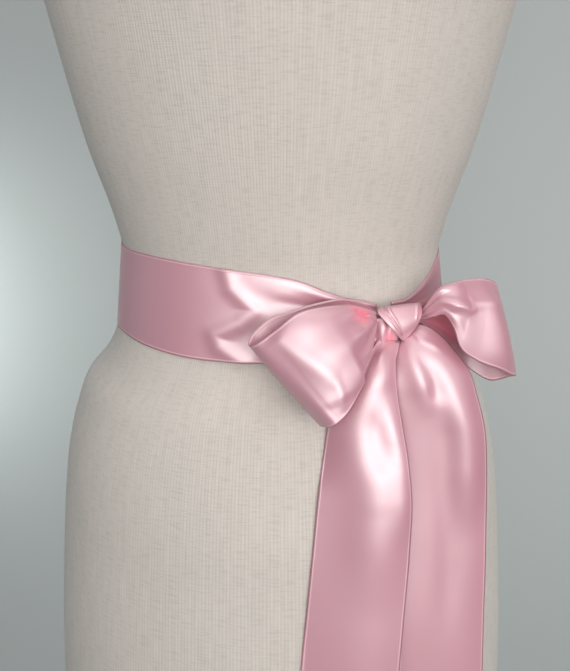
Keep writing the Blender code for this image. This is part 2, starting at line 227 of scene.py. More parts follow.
LOOP_LEFT_ROWS = (
    Section(57.5, -81.6, 4.6, 57.5, -82.2, -0.5, 0, 0.2),
    Section(52, -82.6, 8, 53, -84.3, -4, 0, 0.6),
    Section(46.5, -87, 11.5, 49.5, -90, -8.5, 0, 1.5),
    Section(37, -91.5, 15.3, 44.5, -96.5, -17.5, 1, 1.4),
    Section(22, -97, 14.8, 37.5, -104.5, -28, 2, 0.8),
    Section(6, -102, 11.2, 30, -112, -38, 2, 0),
    Section(-7.5, -107, 7, 23.5, -117.5, -43.5, 1.5, 0),
    Section(-15.5, -112, 0, 20.8, -121, -46, 0.5, 0),
    Section(-16.8, -117, -3.5, 21.8, -126.5, -46.4, 0.5, 0),
    Section(-13.5, -121.5, -1.8, 26, -131, -44.6, 1.5, 0),
    Section(-4, -123, 5.6, 32, -131, -40.6, 4, 0),
    Section(9.5, -121, 15.4, 38.5, -125, -30.8, 6.5, 0.3),
    Section(25, -113.5, 17, 44, -117.5, -21, 7, 0.6),
    Section(38, -105, 15, 49, -107.5, -12.5, 5, 1.5),
    Section(46.5, -97.5, 11.5, 52.5, -98.8, -5.5, 2, 0.8),
    Section(53.6, -91.5, 7.8, 54.7, -92.3, 1.2, 0, 0.2),
)
LOOP_LEFT_FOLDS = (
    Fold(((9.95, 0.0), (10.15, 0.22), (10.4, 0.46), (10.65, 0.76), (10.4, 0.92)), 10, 1.0, 0.1),
    Fold(((9.9, 0.0), (10.15, 0.22), (10.4, 0.46), (10.65, 0.76)), 4.0, 0.9, 0.15),
    Fold(((8.6, 1.15), (10.2, 1.15), (12.2, 1.15)), 27, 7.0, 0.2),
    Fold(((10.7, 0.66), (10.5, 0.82), (10.2, 0.97)), 2.6, 0.8, 0.3),
    Fold(((12.1, 0.0), (11.7, 0.26), (11.5, 0.50)), 5, 0.4, 0.4),
    Fold(((12.9, 0.08), (13.6, 0.20), (14.4, 0.30)), 3.2, -2.2, 0.25),
    Fold(((12.8, 0.42), (14.2, 0.48)), 4, 0.9, 0.3),
)
LOOP_RIGHT_ROWS = (
    Section(76.6, -80.3, 5.2, 77.4, -81.2, 1, 0, 0.2),
    Section(81.2, -82.5, 7.2, 82, -85.2, 2, 0.6, 0.3),
    Section(85, -85.5, 13.8, 87, -90.5, 5, 1.5, 0.7),
    Section(90, -87.5, 21.4, 92.5, -93.5, 6.5, 2.5, 0.8),
    Section(97, -85, 23.4, 96.5, -96, 1, 5, 0.5),
    Section(104, -79.5, 23.6, 101, -97, -11, 6, 0.2),
    Section(112, -73.5, 23, 111, -94.5, -20, 5.5, 0),
    Section(119.5, -68.5, 21.8, 123.5, -88, -27.5, 4.5, 0),
    Section(125, -64.5, 19.5, 135.5, -78, -34.6, 3, 0),
    Section(128, -60.5, 17, 142.5, -67.5, -38.5, 1, 0),
    Section(125.5, -54.5, 14.5, 141.5, -59, -42, 1, 0),
    Section(116, -52, 11, 131, -53.5, -46.5, 2, 0),
    Section(106, -54, 9.5, 120, -51.5, -41, 2, 0),
    Section(97, -58, 8.5, 108.5, -54.5, -30, 1, 0.4),
    Section(89.5, -63.5, 7.5, 97.5, -61.5, -17.5, 0, 1),
    Section(82.5, -70, 5.5, 87, -69, -7.5, 0, 0.8),
    Section(78.5, -74.5, 3.5, 80, -74, -2, 0, 0.2),
)
LOOP_RIGHT_FOLDS = (
    Fold(((2.0, 0.80), (2.9, 0.75), (3.5, 0.64), (5.2, 0.34), (7.2, 0.26), (8.4, 0.28)),
         5, 1.6, 0.25),
    Fold(((3.2, 0.86), (4.0, 0.62), (5.4, 0.42), (6.0, 0.40)), 2.0, 0.7, 0.3),
    Fold(((5.8, -0.1), (6.5, 0.35), (7.0, 0.65), (7.5, 1.3)), 11, 4.5, 0.35),
)
TAIL_LEFT_ROWS = (
    Section(68.0, -90.6, -9.7, 55.2, -92.4, -8, 0.2, 0.3),
    Section(66.6, -95.2, -13.6, 51.5, -95.2, -12.6, 2, 0.4),
    Section(64.6, -100.8, -18, 47, -101, -18.8, 4.5, 0.5),
    Section(64.6, -104.4, -24, 41.5, -105, -26, 6.2, 0.5),
    Section(65.5, -107.5, -35, 34.5, -107, -37, 7, 0.4),
    Section(68, -111, -50, 28, -109, -50, 7, 0.4),
    Section(71, -114, -68, 24.5, -114, -68, 5.5, 0),
    Section(73, -116.5, -92, 21.5, -120, -92, 3.5, 0),
    Section(73, -123.5, -125, 18.5, -125, -124, 2, 0),
    Section(71.3, -128.5, -160, 15.5, -128.5, -158, 2, 0),
    Section(69, -132, -205, 11.8, -131.5, -202, 2, 0),
    Section(67.5, -133.5, -255, 10.2, -134, -255, 2, 0),
    Section(67, -133, -305, 9.8, -135.5, -305, 2, 0),
    Section(67, -130.5, -400, 10, -135.5, -400, 2, 0),
    Section(69, -126, -530, 12.5, -133, -530, 3, 0),
    Section(70, -125, -670, 13, -129, -670, 3, 0),
    Section(68.5, -125, -790, 11.5, -128, -790, 2, 0),
)
TAIL_LEFT_FOLDS = (
    Fold(((4.0, 0.40), (5.6, 0.34), (7.3, 0.30), (9.2, 0.34)), 20, 5.5, 0.48),
    Fold(((3.4, 0.14), (6.2, 0.04), (8.0, 0.06)), 9, 3.4, 0.35),
    Fold(((4.2, 0.42), (5.6, 0.37), (6.6, 0.30)), 8, -1.7, 0.4),
    Fold(((4.4, 1.25), (5.6, 1.25), (7.2, 1.25)), 22, -4.0, 0.45),
    Fold(((4.6, 1.25), (7.0, 1.25), (11.0, 1.25)), 24, -3.4, 0.3),
    Fold(((5.0, 0.32), (7.0, 0.30), (9.5, 0.28), (12.5, 0.30)), 24, 4.5, 0.16),
    Fold(((11.6, 0.36), (13.4, 0.42), (15.6, 0.48)), 20, 5.0, 0.4),
    Fold(((1.0, 0.50), (2.6, 0.55)), 8, 1.0, 0.4),
    Fold(((0.0, 0.93), (2.0, 0.92), (3.8, 0.88)), 2.2, 1.4, 0.1),
    Fold(((0.0, 0.80), (2.4, 0.80), (4.0, 0.77)), 2.2, -1.3, 0.2),
)
TAIL_RIGHT_ROWS = (
    Section(77.4, -84.8, -1, 70.8, -87, -7, 0, 0.2),
    Section(84.5, -86.4, -2.6, 68.2, -90.6, -11.0, 2.8, 0.5),
    Section(92.5, -86.5, -8.4, 64.6, -93.4, -15, 5.6, 0.6),
    Section(100.5, -88, -17, 64, -97.6, -21, 7.2, 0.5),
    Section(108.5, -91, -27.5, 64, -101.2, -30, 6.5, 0.3),
    Section(113.5, -94, -42.5, 65, -102.7, -43, 5.8, 0.2),
    Section(118, -96.3, -60, 66, -103.4, -62, 4.4, 0),
    Section(121, -98.7, -90, 67.5, -105.4, -92, 3.0, 0),
    Section(123.5, -102.5, -130, 70, -109.8, -132, 2, 0),
    Section(125, -106, -180, 71, -116, -182, 1.5, 0),
    Section(126, -110, -230, 71.8, -118.5, -232, 1.5, 0),
    Section(126, -113, -300, 71.5, -121.5, -302, 1.5, 0),
    Section(127, -113, -400, 72, -120.5, -402, 2, 0),
    Section(130, -110, -530, 75.5, -118, -532, 3, 0),
    Section(130, -109, -680, 74, -113, -682, 3, 0),
    Section(128, -110, -825, 72, -114, -825, 2, 0),
)
TAIL_RIGHT_FOLDS = (
    Fold(((2.6, 0.44), (3.6, 0.38), (4.6, 0.31), (6.0, 0.24), (8.0, 0.22)), 13, 5.4, 0.42),
    Fold(((0.8, 0.86), (2.4, 0.76), (3.6, 0.70), (5.6, 0.62)), 8, 3.4, 0.5),
    Fold(((2.4, 0.84), (3.2, 0.66), (4.2, 0.55), (5.2, 0.49)), 6, -1.6, 0.35),
    Fold(((2.6, 0.78), (4.2, 0.55), (5.0, 0.49), (6.6, 0.46), (9.5, 0.44)), 9, -1.8, 0.3),
    Fold(((4.5, -0.25), (7.0, -0.25), (12.0, -0.25)), 20, -4.0, 0.3),
    Fold(((0.6, 0.60), (1.6, 0.44), (2.8, 0.20)), 3.0, 0.9, 0.3),
    Fold(((11.0, 0.60), (13.0, 0.52), (15.0, 0.44)), 18, 4.0, 0.4),
)
KNOT_WRAP_ROWS = (
    Section(80, -73, 7, 58.4, -80.2, 6.6, 0, 0.4),
    Section(80.6, -77.5, 9.4, 55.8, -86.8, 8.6, 0.5, 0.5),
    Section(80.6, -83.5, 8.4, 55, -91.6, 7.2, 1.0, 0.5),
    Section(80, -88, 4, 59, -94.8, 3, 1.2, 0.5),
    Section(77.3, -90, -0.8, 62.8, -95.4, -1, 1.0, 0.3),
    Section(74, -91, -5, 66, -94.4, -5, 0.6, 0.1),
    Section(71.3, -90.6, -9, 69.2, -91.6, -8.8, 0.2, 0),
)
KNOT_WRAP_FOLDS = (
    Fold(((2.0, 0.10), (2.0, 0.80)), 3.5, 1.4),
    Fold(((0.6, 0.95), (2.6, 0.89), (4.8, 0.80)), 1.2, 0.7),
    Fold(((0.6, 0.82), (2.8, 0.75), (4.8, 0.68)), 1.3, 0.6),
    Fold(((0.6, 0.885), (2.7, 0.82), (4.8, 0.74)), 0.8, -0.6),
    Fold(((1.2, 0.10), (3.4, 0.16)), 1.6, 0.5, 0.2),
)
KNOT_CROSS_ROWS = (
    Section(66.5, -89.4, 4.5, 56, -90, 3.6, 0, 0.3),
    Section(68, -91.6, 0, 55.6, -92, -1.6, 0.4, 0.7),
    Section(67, -91.4, -4.5, 55.8, -92.6, -6.5, 0.4, 0.7),
    Section(66.2, -90.4, -9.2, 57.2, -92, -11, 0.2, 0.4),
)


def eased(places: np.ndarray, rows: np.ndarray, wanted: np.ndarray) -> np.ndarray:
    """Smooth values between the rows of a table.

    Each span is a Hermite cubic: its ends are two rows, and its end slopes are the table's own
    central differences there.

    Args:
        places: where each row stands, rising.
        rows: one row of values for each place.
        wanted: the places to work out.

    Returns:
        One row of values for each wanted place.
    """
    slopes = np.gradient(rows, places, axis=0)
    index = np.clip(np.searchsorted(places, wanted, side="right") - 1, 0, len(places) - 2)
    span = (places[index + 1] - places[index])[:, None]
    t = (wanted - places[index])[:, None] / span
    leave, arrive = slopes[index] * span, slopes[index + 1] * span
    return (
        (2 * t**3 - 3 * t**2 + 1) * rows[index]
        + (t**3 - 2 * t**2 + t) * leave
        + (3 * t**2 - 2 * t**3) * rows[index + 1]
        + (t**3 - t**2) * arrive
    )


def outward(points: np.ndarray) -> np.ndarray:
    """Unit normals of a grid: the step across it times the step along it.

    Args:
        points: rows along, columns across, x y z.

    Returns:
        A unit vector for each point.
    """
    normals = np.cross(np.gradient(points, axis=1), np.gradient(points, axis=0))
    return normals / np.linalg.norm(normals, axis=2, keepdims=True)


def travelled(line: np.ndarray) -> np.ndarray:
    """Distance gone along a line of points, from 0 at its first."""
    return np.concatenate([[0.0], np.cumsum(np.linalg.norm(np.diff(line, axis=0), axis=1))])


@dataclass
class Surface:
    """A grid of points and the place of each on the flat cloth, both in millimetres."""

    points: np.ndarray
    flat: np.ndarray
    closed: bool = False

    def mesh(self, name: str) -> bpy.types.Mesh:
        """Makes the mesh, in metres from the floor, with the flat places as its UV map.

        A quad joins each point to the next one across and the next row. On a closed grid the last
        column joins the first, and the flat map has one column more than the points.

        Args:
            name: the mesh's name.

        Returns:
            The new mesh, shaded smooth.
        """
        rows, columns = self.points.shape[:2]
        index = np.arange(rows * columns).reshape(rows, columns)
        if self.closed:
            index = np.concatenate([index, index[:, :1]], axis=1)
        corners = [np.s_[:-1, :-1], np.s_[:-1, 1:], np.s_[1:, 1:], np.s_[1:, :-1]]
        quads = np.stack([index[corner] for corner in corners], axis=2).reshape(-1, 4)
        places = np.stack([self.flat[corner] for corner in corners], axis=2).reshape(-1, 2)
        metres = self.points.reshape(-1, 3) * MM + (0, 0, WAIST_HEIGHT * MM)
        mesh = bpy.data.meshes.new(name)
        mesh.from_pydata(metres.tolist(), [], quads.tolist())
        layer = mesh.uv_layers.new(name=CLOTH_MAP)
        layer.uv.foreach_set("vector", (places * MM).astype(np.float32).ravel())
        mesh.shade_smooth()
        return mesh


class NodeBoard:
    """Adds, fills and links the nodes of one shader tree."""

    def __init__(self, tree: bpy.types.NodeTree) -> None:
        """Works on the given tree."""
        self.tree = tree

    def add(self, kind: str, feeds: dict | None = None, **options: object) -> bpy.types.Node:
        """Adds a node.

        Args:
            kind: the node's type, without its ShaderNode prefix.
            feeds: an input's name or number to a plain value, or to the output that it links to.
            options: the node's own settings.

        Returns:
            The node.
        """
        node = self.tree.nodes.new(kind if kind.startswith("Node") else "ShaderNode" + kind)
        for name, value in options.items():
            setattr(node, name, value)
        self.fill(node, feeds or {})
        return node

    def fill(self, node: bpy.types.Node, feeds: dict) -> None:
        """Feeds several inputs of a node, each by its name or number."""
        for socket, value in feeds.items():
            self.feed(node.inputs[socket], value)

    def feed(self, socket: bpy.types.NodeSocket, value: object) -> None:
        """Links an output to the input, or sets the input's own value."""
        if isinstance(value, bpy.types.NodeSocket):
            self.tree.links.new(value, socket)
        else:
            socket.default_value = value

    def math(self, operation: str, *terms: object) -> bpy.types.NodeSocket:
        """Adds a Math node and returns its result."""
        return self.add("Math", dict(enumerate(terms)), operation=operation).outputs[0]

    def plus(self, base: object, value: object, weight: float) -> bpy.types.NodeSocket:
        """Adds a weighted value to a base: base + value times weight."""
        return self.math("ADD", base, self.math("MULTIPLY", value, weight))

    def ramp(
        self, value: object, low: float, high: float, to: tuple[float, float] = (0.0, 1.0)
    ) -> bpy.types.NodeSocket:
        """Adds a smooth step between two values of to, as a value goes from low to high.

        Args:
            value: the value, as a number or an output.
            low: where the step starts.
            high: where the step ends.
            to: the result at low and at high.

        Returns:
            The result.
        """
        feeds = {"Value": value, "From Min": low, "From Max": high}
        feeds |= {"To Min": to[0], "To Max": to[1]}
        return self.add("MapRange", feeds, interpolation_type="SMOOTHSTEP").outputs["Result"]

    def tint(self, share: object, first: object, second: object) -> bpy.types.NodeSocket:
        """Mixes two colours by a share from 0 to 1, and returns the mix."""
        node = self.add("Mix", data_type="RGBA")
        self.fill(node, {"Factor": share, MIX_FIRST: first, MIX_SECOND: second})
        return node.outputs[MIX_RESULT]

    def noise(self, place: object, scale: float, detail: float = 2.0) -> bpy.types.NodeSocket:
        """Adds a noise texture and returns its value."""
        feeds = {"Vector": place, "Scale": scale, "Detail": detail}
        return self.add("TexNoise", feeds).outputs["Fac"]

    def bump(self, rise: object, strength: float = 1.0) -> bpy.types.NodeSocket:
        """Adds a bump of a rise in metres, and returns its normal."""
        feeds = {"Height": rise, "Strength": strength, "Distance": 1.0}
        return self.add("Bump", feeds).outputs["Normal"]

    def object_place(self) -> bpy.types.NodeSocket:
        """Place on the object itself, in metres from the floor."""
        return self.add("TexCoord").outputs["Object"]

    def cloth_place(self) -> tuple[bpy.types.NodeSocket, bpy.types.NodeSocket]:
        """Place on the flat cloth, in metres: along its first way, then along its second."""
        flat = self.add("UVMap", uv_map=CLOTH_MAP).outputs["UV"]
        split = self.add("SeparateXYZ", {0: flat}).outputs
        return split["X"], split["Y"]


def new_material(name: str) -> tuple[bpy.types.Material, NodeBoard, bpy.types.Node]:
    """Starts a material.

    Args:
        name: the material's name.

    Returns:
        The material, the board of its nodes, and its main shader.
    """
    material = bpy.data.materials.new(name)
    material.use_nodes = True
    board = NodeBoard(material.node_tree)
    return material, board, material.node_tree.nodes["Principled BSDF"]


def new_object(name: str, data: bpy.types.ID) -> bpy.types.Object:
    """Puts a mesh, light or camera into the scene as an object at the origin.

    Args:
        name: the object's name.
        data: what the object shows.

    Returns:
        The object.
    """
    thing = bpy.data.objects.new(name, data)
    bpy.context.scene.collection.objects.link(thing)
    return thing


def rgba(colour: Colour) -> tuple[float, float, float, float]:
    """The colour with an alpha of 1."""
    return (*colour, 1.0)


@dataclass(frozen=True)
class ThreadGroup:
    """Shader group of fine parallel threads, shared by the satin and the knit.

    Height is the absolute sine of the place over the pitch: 1 on a thread, 0 between two. Tone is a
    noise drawn out along the threads, so that each thread is a little lighter or darker.
    """

    name: str = "parallel threads"
    tone_scale: float = 1.0
    tone_detail: float = 3.0

    def tree(self) -> bpy.types.NodeTree:
        """Builds the group once, and returns it each time."""
        if self.name in bpy.data.node_groups:
            return bpy.data.node_groups[self.name]
        tree = bpy.data.node_groups.new(self.name, "ShaderNodeTree")
        sockets = [
            ("Across", "INPUT", "NodeSocketFloat"),
            ("Along", "INPUT", "NodeSocketFloat"),
            ("Pitch", "INPUT", "NodeSocketFloat"),
            ("Run", "INPUT", "NodeSocketFloat"),
            ("Height", "OUTPUT", "NodeSocketFloat"),
            ("Tone", "OUTPUT", "NodeSocketFloat"),
        ]
        for label, side, kind in sockets:
            tree.interface.new_socket(name=label, in_out=side, socket_type=kind)
        board = NodeBoard(tree)
        given = board.add("NodeGroupInput").outputs
        turns = board.math("DIVIDE", given["Across"], given["Pitch"])
        wave = board.math("SINE", board.math("MULTIPLY", turns, math.pi))
        height = board.math("ABSOLUTE", wave)
        lengths = board.math("DIVIDE", given["Along"], given["Run"])
        place = board.add("CombineXYZ", {0: turns, 1: lengths}).outputs[0]
        tone = board.noise(place, self.tone_scale, self.tone_detail)
        board.add("NodeGroupOutput", {"Height": height, "Tone": tone})
        return tree

    def place(
        self, board: NodeBoard, across: object, along: object, pitch: float, run: float
    ) -> bpy.types.bpy_prop_collection:
        """Adds the group to a material.

        Args:
            board: the material's nodes.
            across: place across the threads, in metres.
            along: place along the threads, in metres.
            pitch: spacing of the threads, in metres.
            run: length over which a thread keeps its tone, in metres.

        Returns:
            The group node's outputs.
        """
        feeds = {"Across": across, "Along": along, "Pitch": pitch, "Run": run}
        return board.add("Group", feeds, node_tree=self.tree()).outputs


@dataclass(frozen=True)
class SatinFinish:
    """Light pink double-faced satin with a woven selvage along both edges.

    Cord steps and hem steps are distances from the edge, in selvage widths.
    """

    pink: Colour = (0.57, 0.235, 0.30)
    deep: Colour = (0.51, 0.17, 0.225)
    tone_range: tuple[float, float] = (0.10, 0.45)
    pink_share: float = 0.25
    weft_pitch: float = 0.00042
    weft_run: float = 0.012
    weft_rise: float = 0.000004
    broad_scale: float = 46.0
    broad_rise: float = 0.00006
    fine_scale: float = 420.0
    fine_detail: float = 3.0
    selvage_width: float = 0.0014
    selvage: Colour = (0.70, 0.38, 0.44)
    cord_steps: tuple[float, float, float, float] = (0.5, 0.75, 1.0, 1.25)
    cord_share: float = 0.8
    cord_rise: float = 0.00008
    hem: Colour = (0.42, 0.12, 0.17)
    hem_steps: tuple[float, float] = (0.35, 0.65)
    hem_share: float = 0.7
    # Painted bounce light: a warm pink mixed into the hollows beside the knot, up to a share, full
    # within the core of each reach
    painted_bounce_colour: Colour = (0.97, 0.23, 0.33)
    painted_bounce_core: float = 0.3
    painted_bounce_share: float = 0.85
    hollows: tuple[Hollow, ...] = (
        Hollow(43.5, -103.0, 11.5, 13.0),
        Hollow(100.0, -58.0, -6.0, 26.0),
        Hollow(62.0, -90.0, -6.0, 6.0),
    )
    roughness: float = 0.45
    fine_roughness: float = 0.05
    cord_roughness: float = 0.12
    index: float = 2.3
    specular: float = 0.95
    anisotropic: float = 0.25
    sheen: float = 0.03
    sheen_roughness: float = 0.35
    sheen_tint: Colour = (1.0, 0.86, 0.88)

    def edge_lines(
        self, board: NodeBoard, across: object
    ) -> tuple[bpy.types.NodeSocket, bpy.types.NodeSocket]:
        """Masks of the selvage, from the distance to the nearer edge of the ribbon.

        Args:
            board: the material's nodes.
            across: place across the ribbon, in metres.

        Returns:
            The light cord, then the dark hem outside it.
        """
        far = board.math("SUBTRACT", RIBBON_WIDTH * MM, across)
        edge = board.math("MINIMUM", across, far)
        steps = [self.selvage_width * step for step in self.cord_steps]
        cord = board.math(
            "MULTIPLY",
            board.ramp(edge, steps[0], steps[1]),
            board.ramp(edge, steps[2], steps[3], (1.0, 0.0)),
        )
        steps = [self.selvage_width * step for step in self.hem_steps]
        return cord, board.ramp(edge, steps[0], steps[1], (1.0, 0.0))

    def painted_bounce_light(self, board: NodeBoard, place: object, colour: object) -> bpy.types.NodeSocket:
        """Paints bounce light into the tight hollows, where light goes from pink to pink.

        The share is a smooth step of the distance from each hollow's middle.

        Args:
            board: the material's nodes.
            place: place on the object.
            colour: the colour so far.

        Returns:
            The warmed colour.
        """
        for hollow in self.hollows:
            middle = (hollow.x * MM, hollow.y * MM, (hollow.z + WAIST_HEIGHT) * MM)
            away = board.add("VectorMath", {0: place, 1: middle}, operation="DISTANCE")
            reach = hollow.reach * MM
            core = hollow.reach * self.painted_bounce_core * MM
            share = board.ramp(away.outputs["Value"], core, reach, (self.painted_bounce_share, 0.0))
            colour = board.tint(share, colour, rgba(self.painted_bounce_colour))
        return colour

    def material(self) -> bpy.types.Material:
        """Builds the material.

        Fine threads and noise give the face its grain. The selvage is a dense dark hem with a light
        cord inside it. Bounce light is painted into the hollows beside the knot as a warmer pink.
        A broad low noise bends the face a little, so that its light is slightly uneven.

        Returns:
            The satin material.
        """
        material, board, shader = new_material("pink satin")
        along, across = board.cloth_place()
        cord, hem = self.edge_lines(board, across)
        threads = ThreadGroup().place(board, along, across, self.weft_pitch, self.weft_run)
        place = board.object_place()
        broad = board.noise(place, self.broad_scale)
        fine = board.noise(place, self.fine_scale, self.fine_detail)
        tone = board.ramp(board.math("MULTIPLY", threads["Tone"], fine), *self.tone_range)
        face = board.tint(tone, rgba(self.deep), rgba(self.pink))
        face = board.tint(board.math("MULTIPLY", tone, self.pink_share), rgba(self.pink), face)
        edged = board.tint(board.math("MULTIPLY", cord, self.cord_share), face, rgba(self.selvage))
        edged = board.tint(board.math("MULTIPLY", hem, self.hem_share), edged, rgba(self.hem))
        rough = board.plus(self.roughness, fine, self.fine_roughness)
        rise = board.math("MULTIPLY", broad, self.broad_rise)
        rise = board.plus(rise, threads["Height"], self.weft_rise)
        tangent = board.add("Tangent", direction_type="UV_MAP", uv_map=CLOTH_MAP)
        feeds = {
            # Base colour, with bounce light painted into the hollows beside the knot
            "Base Color": self.painted_bounce_light(board, place, edged),
            "Roughness": board.plus(rough, cord, self.cord_roughness),
            "Normal": board.bump(board.plus(rise, cord, self.cord_rise)),
            "IOR": self.index,
            "Specular IOR Level": self.specular,
            "Anisotropic": self.anisotropic,
            "Tangent": tangent.outputs[0],
            "Sheen Weight": self.sheen,
            "Sheen Roughness": self.sheen_roughness,
            "Sheen Tint": rgba(self.sheen_tint),
        }
        board.fill(shader, feeds)
        return material


@dataclass(frozen=True)
class JerseyFinish:
    """Off-white fine knit stretched over the form, its wales running down the body."""

    light: Colour = (0.605, 0.553, 0.508)
    dark: Colour = (0.40, 0.37, 0.345)
    wale_pitch: float = 0.00135
    wale_run: float = 0.030
    course_pitch: float = 0.0011
    course_run: float = 0.0065
    course_height: float = 1.6
    slub_range: tuple[float, float] = (0.46, 0.68)
    stitch_range: tuple[float, float] = (0.1, 2.4)
    mottle_scale: float = 14.0
    mottle_detail: float = 4.0
    mottle_middle: float = 0.5
    base_shade: float = 0.30
    stitch_shade: float = 0.24
    wale_shade: float = 0.62
    slub_shade: float = -0.26
    mottle_shade: float = 0.25
    stitch_rise: float = 0.00005
    bump_strength: float = 0.8
    roughness: float = 0.85
    mottle_roughness: float = 0.08
    sheen: float = 0.1
    sheen_roughness: float = 0.5

    def material(self) -> bpy.types.Material:
        """Builds the material.

        Wales run along the body and fainter courses round it, and a stitch is the product of their
        heights. Slubs are short darker threads, where a course's tone is high. The shade is a
        weighted sum of the stitch, the wale's tone, the slubs and a broad mottle.

        Returns:
            The jersey material.
        """
        material, board, shader = new_material("off-white jersey")
        around, up = board.cloth_place()
        threads = ThreadGroup()
        wales = threads.place(board, around, up, self.wale_pitch, self.wale_run)
        courses = threads.place(board, up, around, self.course_pitch, self.course_run)
        mottle = board.noise(board.object_place(), self.mottle_scale, self.mottle_detail)
        slubs = board.ramp(courses["Tone"], *self.slub_range)
        raised = board.math("ADD", courses["Height"], self.course_height)
        stitch = board.math("MULTIPLY", wales["Height"], raised)
        lit = board.ramp(stitch, *self.stitch_range)
        shade = board.plus(self.base_shade, lit, self.stitch_shade)
        shade = board.plus(shade, wales["Tone"], self.wale_shade)
        shade = board.plus(shade, slubs, self.slub_shade)
        uneven = board.math("SUBTRACT", mottle, self.mottle_middle)
        shade = board.plus(shade, uneven, self.mottle_shade)
        rise = board.math("MULTIPLY", board.math("SUBTRACT", stitch, slubs), self.stitch_rise)
        feeds = {
            "Base Color": board.tint(shade, rgba(self.dark), rgba(self.light)),
            "Normal": board.bump(rise, self.bump_strength),
            "Roughness": board.plus(self.roughness, mottle, self.mottle_roughness),
            "Sheen Weight": self.sheen,
            "Sheen Roughness": self.sheen_roughness,
        }
        board.fill(shader, feeds)
        return material


@dataclass(frozen=True)
class PaintFinish:
    """Satin grey stove paint on steel, finely pebbled, paler where hands and floor rub it."""

    grey: Colour = (0.30, 0.30, 0.31)
    worn: Colour = (0.42, 0.42, 0.43)
    pebble_scale: float = 900.0
    pebble_rise: float = 0.00006
    scuff_scale: float = 22.0
    scuff_detail: float = 6.0
    scuff_range: tuple[float, float] = (0.56, 0.72)
    scuff_share: float = 0.35
    roughness: float = 0.42
    scuff_roughness: float = 0.12
    coat: float = 0.15

    def material(self) -> bpy.types.Material:
        """Builds the material: a fine bump for the pebble, and noise for the scuffs.

        Returns:
            The paint material.
        """
        material, board, shader = new_material("grey paint")
        place = board.object_place()
        pebble = board.noise(place, self.pebble_scale)
        uneven = board.noise(place, self.scuff_scale, self.scuff_detail)
        scuffs = board.ramp(uneven, *self.scuff_range)
        share = board.math("MULTIPLY", scuffs, self.scuff_share)
        feeds = {
            "Base Color": board.tint(share, rgba(self.grey), rgba(self.worn)),
            "Roughness": board.plus(self.roughness, scuffs, self.scuff_roughness),
            "Normal": board.bump(board.math("MULTIPLY", pebble, self.pebble_rise)),
            "Coat Weight": self.coat,
        }
        board.fill(shader, feeds)
        return material


@dataclass(frozen=True)
class BackdropFinish:
    """Plain pale paper sweep, clear from behind so that the form's back can be seen."""

    pale: Colour = (0.475, 0.50, 0.495)
    shaded: float = 0.92
    mottle_scale: float = 3.0
    mottle_detail: float = 3.0
    mottle_share: float = 0.12
    roughness: float = 0.9

    def material(self) -> bpy.types.Material:
        """Builds the material with a trace of mottling.

        Returns:
            The backdrop material.
        """
        material, board, shader = new_material("pale paper")
        uneven = board.noise(board.object_place(), self.mottle_scale, self.mottle_detail)
        mottle = board.math("MULTIPLY", uneven, self.mottle_share)
        darker = tuple(self.shaded * part for part in self.pale)
        feeds = {
            "Base Color": board.tint(mottle, rgba(self.pale), rgba(darker)),
            "Roughness": self.roughness,
        }
        board.fill(shader, feeds)
        behind = board.add("NewGeometry").outputs["Backfacing"]
        clear = board.add("BsdfTransparent").outputs[0]
        sheet = board.add("MixShader", {0: behind, 1: shader.outputs[0], 2: clear}).outputs[0]
        board.fill(material.node_tree.nodes["Material Output"], {"Surface": sheet})
        return material


